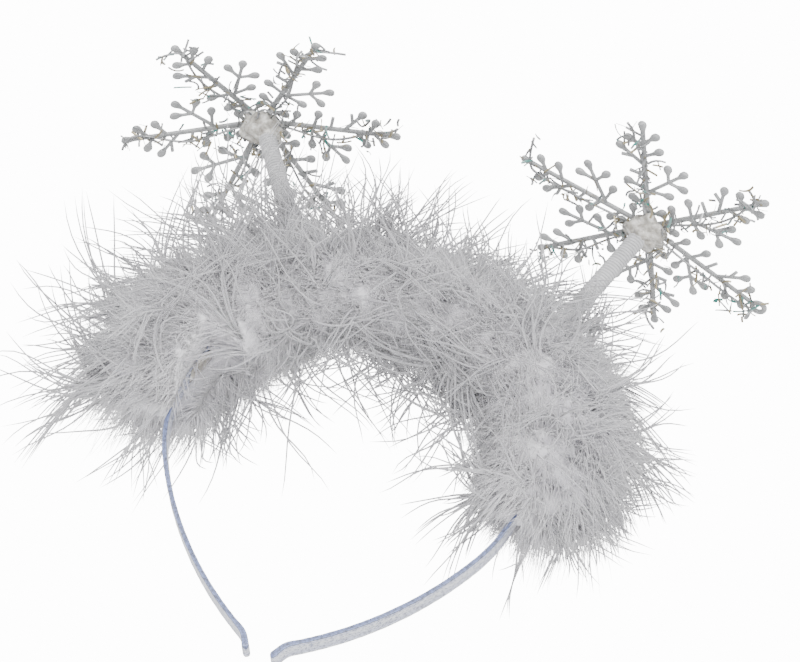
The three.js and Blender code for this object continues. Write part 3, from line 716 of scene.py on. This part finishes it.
def makeFlake(stalk, material):
    rows = flakeRows(stalk)
    t = np.concatenate([np.linspace(0, 0.55, 5), np.linspace(0.66, 0.94, 6), np.linspace(0.965, 1, 4)])[None, :]
    x, width = twigWidths(rows, t)
    turn = np.radians(rows[:, 2])
    way = np.stack([np.cos(turn), np.sin(turn), np.zeros_like(turn)], -1)[:, None, :]
    across = np.stack([-np.sin(turn), np.cos(turn), np.zeros_like(turn)], -1)[:, None, :]
    start = np.stack([rows[:, 0], rows[:, 1], np.zeros(len(rows))], -1)[:, None, :]
    path = start + x[..., None] * way
    side = np.broadcast_to(across, path.shape)
    up = np.broadcast_to(np.array([0.0, 0.0, 1.0]), path.shape)
    deep = flakeShape["thickness"] / 2
    height = deep * np.clip(0.45 + 0.32 * width, 0.05, 1)
    rings = carryProfile(path, side, up, width, height, 10, 0.8)
    piece = tubesToObject("flakeArms_" + stalk["side"], placeOnStalk(rings, stalk), material)
    finishPiece(piece, "snowflake", "snowflake_" + stalk["side"])


# Hub disc and, on the right, the eyelet ring: a flat oval section carried round a circle.
def makeFlakeRings(stalk, material):
    specs = [(0.0, 0.0, flakeShape["hub"] * 0.52, flakeShape["hub"] * 0.5)]
    if stalk["eyelet"] >= 0:
        turned = np.radians(stalk["eyelet"] * 60 + stalk["swerve"][stalk["eyelet"]])
        reach = flakeShape["reach"]
        specs.append((reach * np.cos(turned), reach * np.sin(turned), *flakeShape["eyelet"]))
    x, y, radius, half = np.array(specs).T[:, :, None]
    swing = np.linspace(0, 2 * np.pi, 33)[None, :]
    out = np.stack([np.cos(swing), np.sin(swing), np.zeros_like(swing)], -1)
    path = np.stack([x + radius * np.cos(swing), y + radius * np.sin(swing), 0 * swing + 0 * x], -1)
    side = np.broadcast_to(-out, path.shape)
    up = np.broadcast_to(np.array([0.0, 0.0, 1.0]), path.shape)
    wide = np.broadcast_to(half, path.shape[:2])
    deep = np.full(path.shape[:2], flakeShape["thickness"] / 2 * 0.98)
    rings = carryProfile(path, side, up, wide, deep, 10, 0.7)
    piece = tubesToObject("flakeRings_" + stalk["side"], placeOnStalk(rings, stalk), material)
    finishPiece(piece, "snowflake", "snowflake_" + stalk["side"])


flakeMaterial = makeFlakeMaterial()
for stalk in stalks:
    makeFlake(stalk, flakeMaterial)
    makeFlakeRings(stalk, flakeMaterial)
print("snowflakes made")


# Tinsel stars: wavy wire stems with fine film strips twisted into them

tinselShape = {
    "seed": 21,
    "reach": 58.0,
    "wire": 0.52,
    "plane": 1.65,      # from the snowflake's middle plane to a stem's middle
    "dip": 3.0,
    "wave": 3.4,
    "curl": 11.0,       # how far a stem's end hooks aside
    "strips": 60,       # on each stem
    "stripLength": (3.0, 8.0),
    "stripWidth": 0.48,
    "stripShift": 3.8,  # how far a strip's middle strays from its stem
    "stripBow": 0.9,
}


# A stem: x = share * reach, y = wave * share * sin(2.5 turns + arm) and a hook near the end,
# z = plane + dip * sin^2.
def stemPath(share, arm):
    shape = tinselShape
    hook = np.clip((share - 0.86) / 0.14, 0, 1) ** 2
    y = np.sin(share * np.pi * 2.5 + arm) * shape["wave"] * share + hook * shape["curl"] * np.sin(arm * 2.1 + 0.7)
    z = shape["plane"] + shape["dip"] * np.sin(np.minimum(1, share * 1.2) * np.pi) ** 2
    x = share * shape["reach"] - hook * 2.0
    return np.stack([x, y, z + hook * 3 * np.cos(arm * 1.7)], -1)


def turnAboutZ(points, degrees):
    angle = np.radians(degrees)
    x = points[..., 0] * np.cos(angle) - points[..., 1] * np.sin(angle)
    y = points[..., 0] * np.sin(angle) + points[..., 1] * np.cos(angle)
    return np.stack([x, y, points[..., 2]], -1)


def makeTinselMaterial():
    material, tree, shader = startMaterial("iridescentFilm")
    tone = readAttribute(tree, "tone")
    shift = addNoise(tree, 260, 2.0)
    mixed = addNode(tree, "ShaderNodeMath", {0: tone, 1: shift}, operation="ADD").outputs[0]
    spread = addNode(tree, "ShaderNodeMath", {0: mixed, 1: 0.25}, operation="SUBTRACT").outputs[0]
    colour = addRamp(tree, spread, [
        (0.0, (0.02, 0.13, 0.11)), (0.20, (0.04, 0.26, 0.22)), (0.32, (0.24, 0.33, 0.32)),
        (0.40, (0.20, 0.205, 0.21)), (0.62, (0.36, 0.365, 0.37)), (0.96, (0.20, 0.205, 0.21)),
        (1.0, (0.30, 0.26, 0.17)),
    ])
    tree.links.new(colour, shader.inputs["Base Color"])
    shader.inputs["Metallic"].default_value = 0.5
    shader.inputs["Roughness"].default_value = 0.25
    return material


# Strips: flat ovals carried along short bowed lines centred on their stem.
def makeTinsel(stalk, material, seedStep):
    rng = np.random.default_rng(tinselShape["seed"] + seedStep)
    stems = []
    strips = []
    share = np.linspace(0, 1, 60)
    for arm in range(flakeShape["arms"]):
        turned = arm * 60 + stalk["swerve"][arm]
        stems.append(turnAboutZ(stemPath(share, arm), turned))
        count = tinselShape["strips"]
        at = rng.uniform(0.1, 1.0, count)
        middle = stemPath(at, arm) + rng.normal(0, 1, (count, 3)) * tinselShape["stripShift"] * (0.3, 1, 0.4)
        way = unit(rng.normal(0, 1, (count, 3)) * np.array([0.7, 1.0, 0.75]))
        length = rng.uniform(*tinselShape["stripLength"], count)
        t = np.linspace(-0.5, 0.5, 5)
        bow = unit(np.cross(way, rng.normal(0, 1, (count, 3)))) * rng.uniform(0, tinselShape["stripBow"], count)[:, None]
        line = middle[:, None, :] + length[:, None, None] * (t[None, :, None] * way[:, None, :]
                                                            + (t ** 2)[None, :, None] * bow[:, None, :])
        strips.append(turnAboutZ(line, turned))
    stems = np.stack(stems)
    side, up = pathFrames(stems, np.array([0.0, 0.0, 1.0]))
    thick = np.full(stems.shape[:2], tinselShape["wire"])
    rings = carryProfile(stems, side, up, thick, thick, 6)
    tone = 0.55 + 0.1 * np.sin(np.arange(60) * 2.0)[None, :, None]
    piece = tubesToObject("tinselStems_" + stalk["side"], placeOnStalk(rings, stalk), material, {"tone": tone})
    finishPiece(piece, "tinsel", "tinsel_" + stalk["side"])
    strips = np.concatenate(strips)
    side, up = pathFrames(strips, unit(rng.normal(0, 0.6, (len(strips), 1, 3)) + [0, 0, 1]))
    wide = np.full(strips.shape[:2], tinselShape["stripWidth"])
    rings = carryProfile(strips, side, up, wide, wide * 0.25, 4)
    tone = rng.uniform(0, 1, (len(strips), 1, 1))
    piece = tubesToObject("tinselStrips_" + stalk["side"], placeOnStalk(rings, stalk), material, {"tone": tone},
                          smooth=False)
    finishPiece(piece, "tinsel", "tinsel_" + stalk["side"])


tinselMaterial = makeTinselMaterial()
for step, stalk in enumerate(stalks):
    makeTinsel(stalk, tinselMaterial, step)
print("tinsel made")


# Hot glue

glueShape = {"radius": 8.0, "height": 5.6, "lumps": 0.13, "patch": (15.0, 8.0, 1.3), "patchSeat": -90.0, "gap": 0.3}


def makeGlueMaterial():
    material, tree, shader = startMaterial("hotGlue")
    cloud = addNoise(tree, 260, 4.0, 0.65)
    fine = addNoise(tree, 330, 3.0, 0.6)
    colour = addRamp(tree, cloud, [(0.32, (0.22, 0.205, 0.18)), (0.5, (0.44, 0.42, 0.38)), (0.66, (0.80, 0.79, 0.75))])
    tree.links.new(colour, shader.inputs["Base Color"])
    shader.inputs["Roughness"].default_value = 0.22
    shader.inputs["Subsurface Weight"].default_value = 0.2
    shader.inputs["Subsurface Radius"].default_value = (0.002, 0.0018, 0.0012)
    shader.inputs["Coat Weight"].default_value = 0.5
    shader.inputs["Coat Roughness"].default_value = 0.08
    addBump(tree, shader, fine, 0.0012, 0.9)
    return material


# A ball in rings from pole to pole, its radius times 1 + lumps of sines of both angles.
def lumpyBall(rings, sides, lumps):
    polar = np.linspace(0.02, np.pi - 0.02, rings)[:, None]
    angle = 2 * np.pi * np.arange(sides)[None, :] / sides
    size = 1 + lumps * np.sin(3 * angle + 4 * polar) * np.sin(polar) + lumps * 0.8 * np.sin(5 * angle - 7 * polar) * np.sin(polar)
    x = size * np.sin(polar) * np.cos(angle)
    y = size * np.sin(polar) * np.sin(angle)
    return np.stack([x, y, -size * np.cos(polar)], -1)


def makeGlue(stalk, material):
    ball = lumpyBall(40, 48, glueShape["lumps"])
    ball = ball * np.array([glueShape["radius"], glueShape["radius"], glueShape["height"]])
    top = flakeShape["thickness"] / 2 + glueShape["gap"] * 0.3
    ball[..., 2] = np.maximum(ball[..., 2] + 3.2, top)
    points = placeOnStalk(ball[None], stalk)
    piece = tubesToObject("glueBlob_" + stalk["side"], points, material)
    finishPiece(piece, "glue", "glue_" + stalk["side"])


def makeGluePatch(material):
    long, wide, high = glueShape["patch"]
    ball = lumpyBall(30, 48, glueShape["lumps"]) * np.array([long / 2, wide / 2, high])
    ball[..., 2] = np.minimum(ball[..., 2], 0)
    place, tangent, normal = alongBand(glueShape["patchSeat"] + ball[..., 0])
    lift = -bandShape["thickness"] / 2 - glueShape["gap"] * 0.3 + ball[..., 2]
    points = place + lift[..., None] * normal + ball[..., 1:2] * yAxis
    piece = tubesToObject("gluePatch", points[None], material)
    finishPiece(piece, "glue", "glue_patch")


glueMaterial = makeGlueMaterial()
for stalk in stalks:
    makeGlue(stalk, glueMaterial)
makeGluePatch(glueMaterial)
print("glue made")


# Floor, world and light

studio = {
    "floor": (6.0, -0.75),
    "world": 1.75,
    "behind": 14.0,      # how bright the studio's white looks to the camera
    "lamps": (("keyLamp", (-0.5, -1.3, 0.9), 7.0, 1.4), ("fillLamp", (0.25, -1.15, -0.5), 28.0, 1.2)),
}


def makeStudio():
    half, level = studio["floor"]
    mesh = bpy.data.meshes.new("studioFloor")
    corners = [(-half, -half, level), (half, -half, level), (half, half, level), (-half, half, level)]
    mesh.from_pydata(corners, [], [(0, 1, 2, 3)])
    material, tree, shader = startMaterial("paleFloor")
    shader.inputs["Base Color"].default_value = (0.9, 0.9, 0.9, 1)
    shader.inputs["Roughness"].default_value = 0.8
    mesh.materials.append(material)
    floor = bpy.data.objects.new("studioFloor", mesh)
    bpy.context.scene.collection.objects.link(floor)
    world = bpy.data.worlds.new("studioWorld")
    world.use_nodes = True
    tree = world.node_tree
    tree.nodes["Background"].inputs["Color"].default_value = (1, 1, 1, 1)
    seen = addNode(tree, "ShaderNodeLightPath").outputs["Is Camera Ray"]
    strength = addNode(tree, "ShaderNodeMapRange", {"Value": seen, "To Min": studio["world"], "To Max": studio["behind"]})
    tree.links.new(strength.outputs["Result"], tree.nodes["Background"].inputs["Strength"])
    bpy.context.scene.world = world
    for name, place, power, size in studio["lamps"]:
        data = bpy.data.lights.new(name, "AREA")
        data.energy = power
        data.size = size
        lamp = bpy.data.objects.new(name, data)
        lamp.location = place
        lamp.visible_camera = False
        lamp.rotation_euler = (Vector((0, 0, -0.03)) - Vector(place)).to_track_quat("-Z", "Y").to_euler()
        bpy.context.scene.collection.objects.link(lamp)


makeStudio()
print("studio made")
